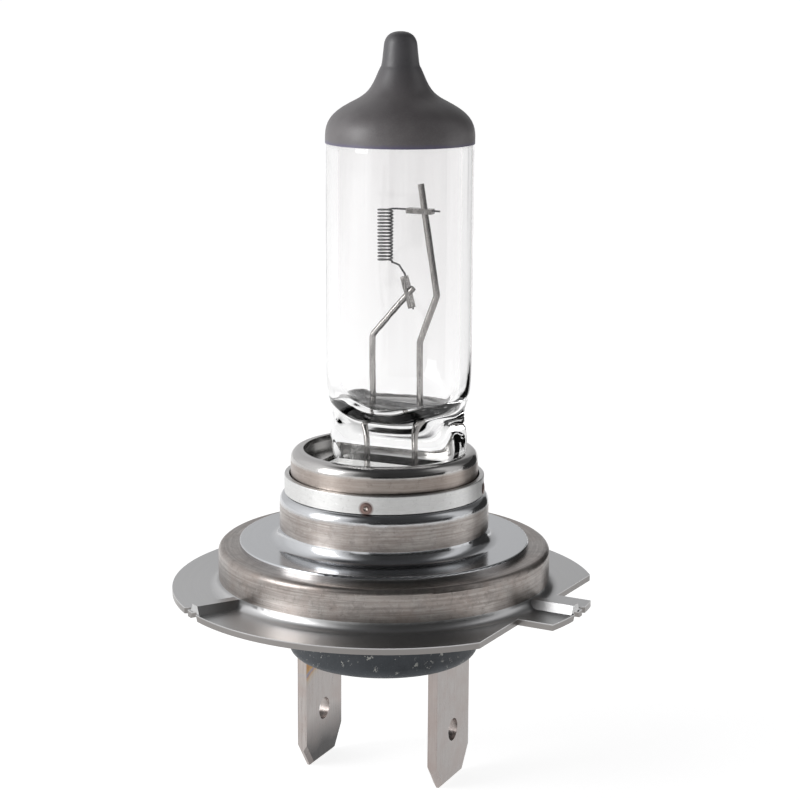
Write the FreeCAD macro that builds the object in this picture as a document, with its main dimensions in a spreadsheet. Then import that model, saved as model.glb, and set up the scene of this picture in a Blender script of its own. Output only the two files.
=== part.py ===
"""Single-filament headlight bulb with a flanged cap and two blade terminals.

Frame: millimetres, +Z towards the glass tip, Z = 0 at the tops of the three reference pips of the
cap flange, Z axis through the drum, +X towards the key-lug terminal.
"""
import FreeCAD, Part
import math
import os
import Sketcher

Vector = FreeCAD.Vector
UP = Vector(0, 0, 1)

DIMENSIONS = [
    # glass burner
    ("burner_offset", 1.2, "burner axis, towards +X from the cap axis"),
    ("glass_radius", 5.65, "outer radius of the tube"),
    ("glass_wall", 0.95, "wall of the tube"),
    ("shoulder_level", 34.6, "where the tube starts to close into the dome"),
    ("tip_level", 42.4, "end of the exhaust tip"),
    ("tip_radius", 1.22, "radius of the exhaust tip near its end"),
    ("cavity_floor", 13.4, "lowest point of the gas space"),
    ("cavity_roof", 36.9, "highest point of the gas space"),
    ("tube_foot", 15.4, "where the tube starts to narrow into the pinch"),
    ("pinch_bottom", 5.2, "lower end of the pinch"),
    ("pinch_half_width", 5.2, "half of the wide side of the pinch"),
    ("pinch_half_depth", 2.15, "half of the thin side of the pinch"),
    ("coating_edge", 34.1, "lower edge of the anti-glare coating"),
    ("coating_skin", 0.05, "thickness of the anti-glare coating"),
    # filament and its mount
    ("coil_bottom", 25.0, "lowest turn of the coil"),
    ("coil_length", 4.1, "axial length of the coil"),
    ("coil_turns", 16, "number of turns"),
    ("coil_radius", 0.56, "radius of the coil at the middle of its wire"),
    ("coil_wire_radius", 0.07, "radius of the tungsten wire"),
    ("post_radius", 0.25, "radius of both lead posts"),
    ("long_post_place", 2.95, "long post foot, along X"),
    ("short_post_place", -1.1, "short post foot, along X"),
    ("post_bottom", -0.9, "lower end of both posts"),
    ("post_bend", 0.7, "bend radius of both posts"),
    ("long_post_bend_level", 18.95, "where the long post leans out"),
    ("long_post_knee_place", 4.3, "knee of the long post, along X"),
    ("long_post_knee_level", 22.65, "height of that knee"),
    ("long_post_tip_place", 2.93, "tip of the long post, along X"),
    ("long_post_tip_level", 31.1, "height of that tip"),
    ("short_post_bend_level", 19.2, "where the short post leans over"),
    ("short_post_tip_place", 2.36, "tip of the short post, along X"),
    ("short_post_tip_level", 23.1, "height of that tip"),
    ("clamp_round", 0.1, "rounding of the corners of both clamps"),
    ("upper_clamp_place", 2.85, "middle of the upper clamp, along X"),
    ("upper_clamp_half_length", 1.05, "half length of the upper clamp"),
    ("upper_clamp_half_height", 0.19, "half height of the upper clamp"),
    ("lower_clamp_place", 1.9, "middle of the lower clamp, along X"),
    ("lower_clamp_level", 22.75, "height of the middle of the lower clamp"),
    ("lower_clamp_half_length", 1.25, "half length of the lower clamp"),
    ("lower_clamp_half_width", 0.15, "half width of the lower clamp"),
    ("clamp_half_depth", 0.4, "half depth of both clamps, across the posts"),
    # sleeve, adjusting ring and collar
    ("sheet_gauge", 0.4, "thickness of the sleeve, ring and collar sheet"),
    ("sleeve_radius", 7.35, "outer radius of the upper sleeve"),
    ("sleeve_bottom", 4.2, "lower end of the upper sleeve"),
    ("sleeve_top", 10.25, "top of the rolled lip"),
    ("sleeve_mouth_radius", 6.35, "opening inside the rolled lip"),
    ("sleeve_lip_round", 0.7, "outer rounding of the rolled lip"),
    ("ring_inner_radius", 7.47, "bore of the adjusting ring"),
    ("ring_outer_radius", 7.84, "outer radius of the adjusting ring"),
    ("ring_bottom", 6.9, "lower end of the adjusting ring"),
    ("ring_top", 8.3, "upper end of the adjusting ring"),
    ("spot_radius", 0.42, "radius of a spot weld"),
    ("spot_level", 7.33, "height of the spot welds"),
    ("spot_first_angle", 15.0, "direction of the first spot weld"),
    ("spot_count", 4, "number of spot welds"),
    ("collar_radius", 8.22, "outer radius of the collar wall"),
    ("collar_top", 6.9, "top of the collar shoulder"),
    ("collar_disc_radius", 11.4, "radius of the collar foot disc"),
    ("collar_disc_top", 3.05, "upper face of the foot disc"),
    ("collar_shoulder_round", 0.72, "outer rounding of the collar shoulder"),
    ("collar_flare_round", 0.95, "flare between the collar wall and its disc"),
    ("collar_wall_foot", 4.05, "lower edge of the thicker collar wall"),
    ("collar_step", 0.14, "step below the thicker collar wall"),
    # clip that holds the pinch inside the sleeve
    ("clip_gauge", 0.3, "thickness of the clip sheet"),
    ("clip_half_width", 4.2, "half width of a clip jaw"),
    ("clip_bottom", 5.6, "lower end of a clip jaw"),
    ("seat_level", 9.3, "upper face of the clip seat plate"),
    # cap ring
    ("cap_gauge", 0.5, "thickness of the cap sheet"),
    ("drum_radius", 13.05, "outer radius of the locating drum"),
    ("drum_top", 2.6, "upper face of the drum"),
    ("drum_hole_radius", 7.0, "opening in the top of the drum"),
    ("drum_round", 0.45, "rounding of the drum edge"),
    ("drum_root_round", 0.72, "fillet where the drum meets the flange"),
    ("flange_radius", 16.7, "outer radius of the flange and its key lug"),
    ("flange_top", -0.65, "upper face of the flange"),
    ("flange_flat", 13.45, "flats beside the key lug, from the axis"),
    ("lug_half_width", 3.5, "half width of the key lug"),
    ("pip_half_width", 0.85, "half width of a pressed pip at its foot"),
    ("pip_crest_half_width", 0.4, "half width of a pressed pip at its top"),
    ("pip_inner_end", 12.6, "inner end of a pip, from the axis"),
    ("pip_outer_end", 16.6, "outer end of a pip, from the axis"),
    ("pip_count", 3, "number of pips"),
    ("notch_depth", 0.8, "depth of the small notch beside a pip"),
    ("cap_turn", -4.0, "turn of the cap ring against the terminals"),
    # insulator and terminals
    ("insulator_bottom", -6.35, "lower face of the insulator"),
    ("insulator_radius", 7.52, "outer radius of the insulator drum"),
    ("insulator_round", 0.8, "rounding of its lower edge"),
    ("insulator_disc_radius", 12.1, "radius of the disc inside the cap"),
    ("insulator_disc_bottom", -0.9, "lower face of the disc inside the cap"),
    ("weld_chamber_radius", 6.9, "radius of the chamber for the lead welds"),
    ("weld_chamber_floor", -1.5, "floor of the chamber for the lead welds"),
    ("slot_gap", 0.05, "play of a blade in its slot, on each side"),
    ("blade_place", 5.7, "middle of a blade, from the axis"),
    ("blade_half_gauge", 0.4, "half of the blade thickness"),
    ("blade_half_width", 3.15, "half of the blade width"),
    ("blade_tip", -16.3, "end of the blades"),
    ("blade_shoulder", -2.6, "where a blade narrows to its neck"),
    ("blade_bevel", 0.3, "bevel round the end of a blade"),
    ("blade_tip_cut", 1.1, "corner cut at the end of a blade"),
    ("blade_hole_radius", 0.9, "radius of the detent hole"),
    ("blade_hole_level", -12.05, "height of the detent hole"),
    ("tab_half_width", 1.3, "half width of the tab that reaches the post"),
    ("tab_top", -0.3, "upper face of that tab"),
    ("tab_overhang", 0.9, "tab beyond the post"),
    ("lead_weld_radius", 0.55, "radius of a lead weld"),
    ("lead_weld_rise", 0.35, "height of a lead weld"),
]
NAMES = {alias for alias, _, _ in DIMENSIONS}

doc = FreeCAD.newDocument("headlight_bulb")
sheet = doc.addObject("Spreadsheet::Sheet", "Dimensions")
for row, (alias, number, meaning) in enumerate(DIMENSIONS, start=1):
    sheet.set(f"A{row}", meaning)
    sheet.set(f"B{row}", str(number))
    sheet.setAlias(f"B{row}", alias)
doc.recompute()

parts = []
FAR = 40.0  # beyond every piece


# ---------------------------------------------------------------- helpers

def size(expression):
    """Value of a sum of terms such as 'sleeve_radius - sheet_gauge / 2'."""
    total, sign, term, operator = 0.0, 1.0, 0.0, None
    for token in expression.split():
        if token in ("+", "-"):
            total += sign * term
            sign = 1.0 if token == "+" else -1.0
            term, operator = 0.0, None
        elif token in ("*", "/"):
            operator = token
        else:
            number = float(sheet.get(token)) if token in NAMES else float(token)
            if operator == "*":
                term *= number
            elif operator == "/":
                term /= number
            else:
                term = number
    return total + sign * term


def bound(expression):
    """The same expression, as the document's expression engine reads it."""
    return " ".join(f"Dimensions.{token}" if token in NAMES else token for token in expression.split())


def keep(part, label):
    """Register a finished sub-part under the name that its file gets."""
    part.Label = label
    parts.append(part)
    return part


def new_body(label):
    return keep(doc.addObject("PartDesign::Body", label), label)


def origin_plane(body, role):
    return next(f for f in body.Origin.OriginFeatures if f.Role == role)


def new_sketch(body, role, name, offset=None, turn=0.0):
    """Sketch on one of the body's own origin planes, optionally lifted and turned in its plane."""
    sketch = body.newObject("Sketcher::SketchObject", name)
    sketch.AttachmentSupport = [(origin_plane(body, role), "")]
    sketch.MapMode = "FlatFace"
    sketch.AttachmentOffset = FreeCAD.Placement(Vector(0, 0, 0), FreeCAD.Rotation(UP, turn))
    if offset:
        sketch.setExpression("AttachmentOffset.Base.z", bound(offset))
    return sketch


def pin_point(sketch, edge, point, across, along):
    """Fix one vertex of a sketch by two expressions measured from the sketch origin."""
    for kind, axis, expression in (("DistanceX", -2, across), ("DistanceY", -1, along)):
        if expression == "0":
            sketch.addConstraint(Sketcher.Constraint("PointOnObject", edge, point, axis))
            continue
        index = sketch.addConstraint(Sketcher.Constraint(kind, -1, 1, edge, point, size(expression)))
        sketch.setExpression(f"Constraints[{index}]", bound(expression))


def polygon(sketch, corners):
    """Closed outline of straight edges whose corners are pairs of expressions."""
    places = [Vector(size(across), size(along), 0) for across, along in corners]
    count = len(places)
    edges = [sketch.addGeometry(Part.LineSegment(places[i], places[(i + 1) % count])) for i in range(count)]
    for i, edge in enumerate(edges):
        following = edges[(i + 1) % count]
        sketch.addConstraint(Sketcher.Constraint("Coincident", edge, 2, following, 1))
    for edge, (across, along) in zip(edges, corners):
        pin_point(sketch, edge, 1, across, along)


def circle(sketch, radius, across="0", along="0"):
    centre = Vector(size(across), size(along), 0)
    edge = sketch.addGeometry(Part.Circle(centre, UP, size(radius)))
    index = sketch.addConstraint(Sketcher.Constraint("Radius", edge, size(radius)))
    sketch.setExpression(f"Constraints[{index}]", bound(radius))
    if across == "0" and along == "0":
        sketch.addConstraint(Sketcher.Constraint("Coincident", edge, 3, -1, 1))
    else:
        pin_point(sketch, edge, 3, across, along)


def revolve(body, name, corners):
    """Turn a closed outline, given as (radius, height) expressions, about the Z axis."""
    sketch = new_sketch(body, "XZ_Plane", f"{name}_outline")
    polygon(sketch, corners)
    feature = body.newObject("PartDesign::Revolution", name)
    feature.Profile = sketch
    feature.ReferenceAxis = (sketch, ["V_Axis"])
    feature.Angle = 360
    body.Tip = feature
    doc.recompute()
    return feature


def pad(body, name, sketch, length, reverse=False, both=False):
    feature = body.newObject("PartDesign::Pad", name)
    feature.Profile = sketch
    feature.setExpression("Length", bound(length))
    feature.Reversed = reverse
    feature.Midplane = both
    body.Tip = feature
    doc.recompute()
    return feature


def pocket(body, name, sketch, length, reverse=False, both=False):
    """Cut a sketch out of the body and check that material was removed."""
    before = body.Shape.Volume
    feature = body.newObject("PartDesign::Pocket", name)
    feature.Profile = sketch
    feature.setExpression("Length", bound(length))
    feature.Reversed = reverse
    feature.Midplane = both
    body.Tip = feature
    doc.recompute()
    if feature.Shape.Volume >= before - 1e-6:
        raise RuntimeError(f"{name} cuts nothing")
    return feature


def polar(body, name, feature, count):
    pattern = body.newObject("PartDesign::PolarPattern", name)
    pattern.Originals = [feature]
    pattern.Axis = (origin_axis(body), [""])
    pattern.Angle = 360
    pattern.setExpression("Occurrences", bound(count))
    body.Tip = pattern
    doc.recompute()
    return pattern


def origin_axis(body):
    return next(f for f in body.Origin.OriginFeatures if f.Role == "Z_Axis")


def rings(shape, radius, height):
    """Names of the circular edges about the Z axis at one radius and height."""
    found = []
    for number, edge in enumerate(shape.Edges, start=1):
        curve = edge.Curve
        if not hasattr(curve, "Radius"):
            continue
        if abs(curve.Radius - radius) < 1e-4 and abs(curve.Center.z - height) < 1e-4:
            found.append(f"Edge{number}")
    if not found:
        raise RuntimeError(f"no round edge at radius {radius}, height {height}")
    return found


def edge_round(body, name, edges, radius):
    base = body.Tip
    feature = body.newObject("PartDesign::Fillet", name)
    feature.Base = (base, edges)
    feature.setExpression("Radius", bound(radius))
    body.Tip = feature
    doc.recompute()
    return feature


def bevel(body, name, edges, width):
    base = body.Tip
    feature = body.newObject("PartDesign::Chamfer", name)
    feature.Base = (base, edges)
    feature.setExpression("Size", bound(width))
    body.Tip = feature
    doc.recompute()
    return feature


def solid_part(label, shape, place=None):
    """A sub-part whose shape is made by code, with its placement set afterwards."""
    feature = doc.addObject("Part::Feature", label)
    feature.Shape = shape
    feature.Placement = place or FreeCAD.Placement()
    return keep(feature, label)


def smooth_edge(points, first_direction, last_direction):
    curve = Part.BSplineCurve()
    curve.interpolate(Points=points, InitialTangent=first_direction, FinalTangent=last_direction)
    return curve.toShape()


def turned(edges):
    """Solid of revolution about the Z axis of a closed chain of edges in the XZ plane."""
    return Part.Face(Part.Wire(edges)).revolve(Vector(0, 0, 0), UP, 360)


def rod(points, radius, bend):
    """Round rod through the points, with an arc of the given radius at each inner point."""
    edges = []
    start = points[0]
    for before, corner, after in zip(points, points[1:], points[2:]):
        inward = (before - corner).normalize()
        onward = (after - corner).normalize()
        half_turn = (math.pi - inward.getAngle(onward)) / 2
        reach = bend * math.tan(half_turn)
        enter = corner + inward * reach
        leave = corner + onward * reach
        bisector = (inward + onward).normalize()
        middle = corner + bisector * (bend / math.cos(half_turn) - bend)
        edges.append(Part.LineSegment(start, enter).toShape())
        edges.append(Part.Arc(enter, middle, leave).toShape())
        start = leave
    edges.append(Part.LineSegment(start, points[-1]).toShape())
    section = Part.Wire(Part.Circle(points[0], points[1] - points[0], radius).toShape())
    return Part.Wire(edges).makePipeShell([section], True, True)


# ---------------------------------------------------------------- glass burner

def dome_edges(skin):
    """Half outline of the dome and exhaust tip, from the tube up to the axis."""
    radius = size("glass_radius") + skin
    shoulder = size("shoulder_level")
    tip = size("tip_level") + skin
    end_radius = size("tip_radius") + skin
    end_start = Vector(end_radius, 0, tip - 1.05)
    dome = smooth_edge([
        Vector(radius, 0, shoulder),
        Vector(radius - 0.42, 0, shoulder + 1.4),
        Vector(radius - 1.95, 0, shoulder + 2.55),
        Vector(radius - 3.35, 0, shoulder + 3.55),
        Vector(end_radius + 0.3, 0, shoulder + 5.1),
        end_start,
    ], UP, Vector(-0.1, 0, 1))
    end = smooth_edge([end_start, Vector(end_radius * 0.8, 0, tip - 0.38), Vector(0, 0, tip)],
                      Vector(-0.1, 0, 1), Vector(-1, 0, 0))
    return [dome, end]


def burner_upper(skin, bottom):
    """Solid tube with dome and tip from the given height up."""
    radius = size("glass_radius") + skin
    shoulder = size("shoulder_level")
    top = size("tip_level") + skin
    return turned([
        Part.LineSegment(Vector(0, 0, bottom), Vector(radius, 0, bottom)).toShape(),
        Part.LineSegment(Vector(radius, 0, bottom), Vector(radius, 0, shoulder)).toShape(),
        *dome_edges(skin),
        Part.LineSegment(Vector(0, 0, top), Vector(0, 0, bottom)).toShape(),
    ])


def press_jaw_space(half_outline):
    """Prism along Y left between two pressing jaws, from its half outline in the XZ plane."""
    top = size("tip_level") + 1
    edges = []
    for side in (-1, 1):
        outline = [Vector(side * across, -FAR, height) for across, height in half_outline]
        edges.append(smooth_edge(outline, UP, Vector(0.1 * side, 0, 1)))
        edges.append(Part.makeLine(outline[-1], Vector(outline[-1].x, -FAR, top)))
    last = half_outline[-1][0]
    first = half_outline[0]
    edges.append(Part.makeLine(Vector(-last, -FAR, top), Vector(last, -FAR, top)))
    edges.append(Part.makeLine(Vector(-first[0], -FAR, first[1]), Vector(first[0], -FAR, first[1])))
    outline_wire = Part.Wire(Part.__sortEdges__(edges))
    return Part.Face(outline_wire).extrude(Vector(0, 2 * FAR, 0))


def burner_solid():
    """Tube with dome and tip, pressed from both directions into the waist and the pinch."""
    radius, foot, bottom = size("glass_radius"), size("tube_foot"), size("pinch_bottom")
    width, depth = size("pinch_half_width"), size("pinch_half_depth")
    across = press_jaw_space([
        (width, bottom), (width, foot - 5.8), (width - 0.2, foot - 3.0),
        (width + 0.12, foot - 1.2), (radius + 0.02, foot + 0.6), (radius + 0.25, foot + 2.5)])
    along = press_jaw_space([
        (depth, bottom), (depth, foot - 6.0), (depth + 0.45, foot - 4.3),
        (depth + 1.8, foot - 2.3), (radius - 0.3, foot), (radius + 0.35, foot + 2.5)])
    along.rotate(Vector(0, 0, 0), UP, 90)
    return burner_upper(0, bottom).common(across).common(along)


def gas_space():
    """The sealed space inside the burner."""
    radius = size("glass_radius - glass_wall")
    floor, roof = size("cavity_floor"), size("cavity_roof")
    wall_start, wall_end = floor + 2.1, size("shoulder_level - 0.3")
    bowl = smooth_edge(
        [Vector(0, 0, floor), Vector(radius * 0.62, 0, floor + 0.55), Vector(radius, 0, wall_start)],
        Vector(1, 0, 0), UP)
    roof_edge = smooth_edge(
        [Vector(radius, 0, wall_end), Vector(radius * 0.72, 0, roof - 0.95), Vector(0, 0, roof)],
        UP, Vector(-1, 0, 0.25))
    return turned([
        bowl,
        Part.LineSegment(Vector(radius, 0, wall_start), Vector(radius, 0, wall_end)).toShape(),
        roof_edge,
        Part.LineSegment(Vector(0, 0, roof), Vector(0, 0, floor)).toShape(),
    ])


def post_path(name):
    """Corner points of a lead post in the cap's frame."""
    bottom = size("post_bottom")
    if name == "long":
        place = size("long_post_place")
        return [
            Vector(place, 0, bottom),
            Vector(place, 0, size("long_post_bend_level")),
            Vector(size("long_post_knee_place"), 0, size("long_post_knee_level")),
            Vector(size("long_post_tip_place"), 0, size("long_post_tip_level")),
        ]
    place = size("short_post_place")
    return [
        Vector(place, 0, bottom),
        Vector(place, 0, size("short_post_bend_level")),
        Vector(size("short_post_tip_place"), 0, size("short_post_tip_level")),
    ]


long_post = rod(post_path("long"), size("post_radius"), size("post_bend"))
short_post = rod(post_path("short"), size("post_radius"), size("post_bend"))
solid_part("long_lead_post", long_post)
solid_part("short_lead_post", short_post)

burner_place = FreeCAD.Placement(Vector(size("burner_offset"), 0, 0), FreeCAD.Rotation())


def in_burner(shape):
    """A shape of the cap's frame, expressed in the burner's own frame."""
    moved = shape.copy()
    moved.translate(Vector(-size("burner_offset"), 0, 0))
    return moved


glass = burner_solid().cut(gas_space()).cut(in_burner(long_post)).cut(in_burner(short_post))
solid_part("glass_envelope", glass, burner_place)

coating = burner_upper(size("coating_skin"), size("coating_edge")).cut(burner_upper(0, size("tube_foot")))
solid_part("glare_coating", coating, burner_place)


# ---------------------------------------------------------------- filament and clamps

def coil():
    """Helix of the filament about the cap axis."""
    pitch = size("coil_length") / size("coil_turns")
    path = Part.makeHelix(pitch, size("coil_length"), size("coil_radius"))
    path.translate(Vector(0, 0, size("coil_bottom")))
    section = Part.Circle(Vector(size("coil_radius"), 0, size("coil_bottom")), Vector(0, 1, 0),
                          size("coil_wire_radius"))
    return Part.Wire(path).makePipeShell([Part.Wire(section.toShape())], True, True)


def coil_legs():
    """The straight ends of the wire that reach into the two clamps."""
    radius, wire = size("coil_radius"), size("coil_wire_radius")
    top, bottom = size("coil_bottom + coil_length"), size("coil_bottom")
    upper = [Vector(radius, 0, top), Vector(radius + 0.35, 0.16, top), Vector(4.35, 0.32, top - 0.05)]
    lower = [Vector(radius, 0, bottom), Vector(1.15, 0.1, bottom - 0.2), Vector(1.5, 0.32, bottom - 0.85),
             Vector(2.25, 0.32, bottom - 3.6)]
    return rod(upper, wire, 0.12), rod(lower, wire, 0.12)


def clamp_strip(middle, direction, half_length, half_height):
    """A folded strip squeezed over a post and a wire, as a rounded block."""
    half_depth = size("clamp_half_depth")
    block = Part.makeBox(2 * half_length, 2 * half_depth, 2 * half_height)
    block.translate(Vector(-half_length, -half_depth, -half_height))
    upright = [edge for edge in block.Edges if edge.Length < 2 * half_height + 1e-6]
    block = block.makeFillet(size("clamp_round"), upright)
    turn = FreeCAD.Rotation(Vector(1, 0, 0), direction)
    block.Placement = FreeCAD.Placement(middle, turn)
    return block


upper_leg, lower_leg = coil_legs()
filament = coil().fuse(upper_leg).fuse(lower_leg)
solid_part("filament_coil", filament)

upper_place = Vector(size("upper_clamp_place"), 0.1, size("coil_bottom + coil_length") - 0.07)
upper_strip = clamp_strip(upper_place, Vector(1, 0, 0),
                          size("upper_clamp_half_length"), size("upper_clamp_half_height"))
lower_place = Vector(size("lower_clamp_place"), 0.1, size("lower_clamp_level"))
lower_strip = clamp_strip(lower_place, Vector(0.27, 0, -0.963),
                          size("lower_clamp_half_length"), size("lower_clamp_half_width"))
solid_part("upper_filament_clamp", upper_strip.cut(long_post).cut(upper_leg))
solid_part("lower_filament_clamp", lower_strip.cut(short_post).cut(lower_leg))


# ---------------------------------------------------------------- sleeve, ring, collar

sleeve = new_body("upper_sleeve")
revolve(sleeve, "sleeve_wall", [
    ("sleeve_radius - sheet_gauge", "sleeve_bottom"),
    ("sleeve_radius", "sleeve_bottom"),
    ("sleeve_radius", "sleeve_top"),
    ("sleeve_mouth_radius", "sleeve_top"),
    ("sleeve_mouth_radius", "sleeve_top - sheet_gauge"),
    ("sleeve_radius - sheet_gauge", "sleeve_top - sheet_gauge"),
])
edge_round(sleeve, "sleeve_lip", rings(sleeve.Shape, size("sleeve_radius"), size("sleeve_top")),
           "sleeve_lip_round")
edge_round(sleeve, "sleeve_lip_inside",
           rings(sleeve.Shape, size("sleeve_radius - sheet_gauge"), size("sleeve_top - sheet_gauge")),
           "sleeve_lip_round - sheet_gauge")

ring = new_body("adjusting_ring")
revolve(ring, "ring_wall", [
    ("ring_inner_radius", "ring_bottom"),
    ("ring_outer_radius", "ring_bottom"),
    ("ring_outer_radius", "ring_top"),
    ("ring_inner_radius", "ring_top"),
])
edge_round(ring, "ring_top_edge", rings(ring.Shape, size("ring_outer_radius"), size("ring_top")), "0.08")


def weld_spots():
    """Shallow domes with a crater, spaced round the adjusting ring."""
    spots = []
    count = int(size("spot_count"))
    radius, wall = size("spot_radius"), size("ring_outer_radius")
    dome_radius = 2.2
    for number in range(count):
        dome = Part.makeSphere(dome_radius)
        dome.translate(Vector(wall - dome_radius + 0.09, 0, size("spot_level")))
        drum = Part.makeCylinder(radius, 1.0, Vector(wall - 0.5, 0, size("spot_level")), Vector(1, 0, 0))
        crater = Part.makeSphere(0.22, Vector(wall + 0.22, 0, size("spot_level")))
        inside = Part.makeCylinder(wall, 3.0, Vector(0, 0, size("spot_level") - 1.5), UP)
        spot = dome.common(drum).cut(crater).cut(inside)
        spot.rotate(Vector(0, 0, 0), UP, size("spot_first_angle") + 360.0 * number / count)
        spots.append(spot)
    return Part.makeCompound(spots)


solid_part("sleeve_weld_spots", weld_spots())

collar = new_body("base_collar")
revolve(collar, "collar_wall", [
    ("collar_radius - sheet_gauge", "drum_top"),
    ("collar_disc_radius", "drum_top"),
    ("collar_disc_radius", "collar_disc_top"),
    ("collar_radius - collar_step", "collar_disc_top"),
    ("collar_radius - collar_step", "collar_wall_foot"),
    ("collar_radius", "collar_wall_foot"),
    ("collar_radius", "collar_top"),
    ("ring_inner_radius", "collar_top"),
    ("ring_inner_radius", "collar_top - sheet_gauge"),
    ("collar_radius - sheet_gauge", "collar_top - sheet_gauge"),
])
edge_round(collar, "collar_flare",
           rings(collar.Shape, size("collar_radius - collar_step"), size("collar_disc_top")),
           "collar_flare_round")
edge_round(collar, "collar_shoulder", rings(collar.Shape, size("collar_radius"), size("collar_top")),
           "collar_shoulder_round")
edge_round(collar, "collar_shoulder_inside",
           rings(collar.Shape, size("collar_radius - sheet_gauge"), size("collar_top - sheet_gauge")),
           "collar_shoulder_round - sheet_gauge")
edge_round(collar, "collar_disc_edge",
           rings(collar.Shape, size("collar_disc_radius"), size("collar_disc_top")), "0.15")


# ---------------------------------------------------------------- clip inside the sleeve

seat = new_body("clip_seat_plate")
seat_plate = new_sketch(seat, "XY_Plane", "seat_outline", "seat_level")
circle(seat_plate, "sleeve_radius - sheet_gauge")
pad(seat, "seat_disc", seat_plate, "clip_gauge", reverse=True)
seat_slot = new_sketch(seat, "XY_Plane", "seat_slot_outline", "seat_level")
polygon(seat_slot, [
    ("burner_offset - pinch_half_width - 0.3", "0 - pinch_half_depth - clip_gauge - 0.15"),
    ("sleeve_radius", "0 - pinch_half_depth - clip_gauge - 0.15"),
    ("sleeve_radius", "pinch_half_depth + clip_gauge + 0.15"),
    ("burner_offset - pinch_half_width - 0.3", "pinch_half_depth + clip_gauge + 0.15"),
])
pocket(seat, "seat_slot", seat_slot, "clip_gauge")


def clip_jaw(label, side):
    """A jaw: flat plate on the pinch with a foot that turns out onto the seat plate."""
    jaw = new_body(label)
    face = "pinch_half_depth + 0.05"
    profile = new_sketch(jaw, "YZ_Plane", f"{label}_profile")
    corners = [
        (face, "clip_bottom"),
        (f"{face} + clip_gauge", "clip_bottom"),
        (f"{face} + clip_gauge", "seat_level"),
        (f"{face} + clip_gauge + 1.6", "seat_level"),
        (f"{face} + clip_gauge + 1.6", "seat_level + clip_gauge"),
        (face, "seat_level + clip_gauge"),
    ]
    if side < 0:
        corners = [(f"0 - {across.replace(' + ', ' - ')}", along) for across, along in corners]
    polygon(profile, corners)
    pad(jaw, f"{label}_plate", profile, "clip_half_width * 2", both=True)
    jaw.Placement = burner_place
    return jaw


clip_jaw("pinch_clip_front", -1)
clip_jaw("pinch_clip_rear", 1)


# ---------------------------------------------------------------- cap ring

cap = new_body("cap_ring")
revolve(cap, "cap_shell", [
    ("drum_hole_radius", "drum_top - cap_gauge"),
    ("drum_radius - cap_gauge", "drum_top - cap_gauge"),
    ("drum_radius - cap_gauge", "flange_top - cap_gauge"),
    ("flange_radius", "flange_top - cap_gauge"),
    ("flange_radius", "flange_top"),
    ("drum_radius", "flange_top"),
    ("drum_radius", "drum_top"),
    ("drum_hole_radius", "drum_top"),
])
edge_round(cap, "drum_edge", rings(cap.Shape, size("drum_radius"), size("drum_top")), "drum_round")
edge_round(cap, "drum_foot", rings(cap.Shape, size("drum_radius"), size("flange_top")), "drum_root_round")
edge_round(cap, "drum_edge_inside",
           rings(cap.Shape, size("drum_radius - cap_gauge"), size("drum_top - cap_gauge")),
           "0.15")

CLEAR_OF_FLANGE = "20"
for side, name in ((1, "left"), (-1, "right")):
    sign = "0 +" if side > 0 else "0 -"
    flat = new_sketch(cap, "XY_Plane", f"flat_{name}_outline", "flange_top")
    polygon(flat, [
        ("flange_flat", f"{sign} lug_half_width"),
        (CLEAR_OF_FLANGE, f"{sign} lug_half_width"),
        (CLEAR_OF_FLANGE, f"{sign} {CLEAR_OF_FLANGE}"),
        ("flange_flat", f"{sign} {CLEAR_OF_FLANGE}"),
    ])
    pocket(cap, f"flat_{name}", flat, "cap_gauge")


def pip_outline(name, lowered, height_of_foot, height_of_crest, start):
    """Trapezoid across a pip, narrowed by the sheet thickness for its hollow underside."""
    outline = new_sketch(cap, "YZ_Plane", name, start)
    polygon(outline, [
        (f"0 - pip_half_width + {lowered}", height_of_foot),
        (f"pip_half_width - {lowered}", height_of_foot),
        (f"pip_crest_half_width - {lowered} / 2", height_of_crest),
        (f"0 - pip_crest_half_width + {lowered} / 2", height_of_crest),
    ])
    return outline


pip_sketch = pip_outline("pip_outline", "0", "flange_top - cap_gauge / 2", "0 + 0", "pip_inner_end")
pip = pad(cap, "pip", pip_sketch, "pip_outer_end - pip_inner_end")
polar(cap, "pips", pip, "pip_count")
groove_sketch = pip_outline("pip_groove_outline", "0.3", "flange_top - cap_gauge", "0 - cap_gauge",
                            "drum_radius")
groove = pocket(cap, "pip_groove", groove_sketch, "pip_outer_end - drum_radius + 1", reverse=True)
polar(cap, "pip_grooves", groove, "pip_count")

NOTCH_SIDES = {"key": (0.0, 1), "left": (120.0, 1), "right": (-120.0, -1)}
for name, (angle, side) in NOTCH_SIDES.items():
    sign = "0 +" if side > 0 else "0 -"
    notch = new_sketch(cap, "XY_Plane", f"notch_{name}_outline", "flange_top", turn=angle)
    polygon(notch, [
        ("flange_radius - notch_depth", f"{sign} pip_half_width {'+' if side > 0 else '-'} 0.55"),
        ("flange_radius + 0.5", f"{sign} pip_half_width {'+' if side > 0 else '-'} 0.05"),
        ("flange_radius + 0.5", f"{sign} pip_half_width {'+' if side > 0 else '-'} 1.35"),
    ])
    pocket(cap, f"notch_{name}", notch, "cap_gauge")
cap.Placement = FreeCAD.Placement(Vector(0, 0, 0), FreeCAD.Rotation(UP, size("cap_turn")))


# ---------------------------------------------------------------- insulator

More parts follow.
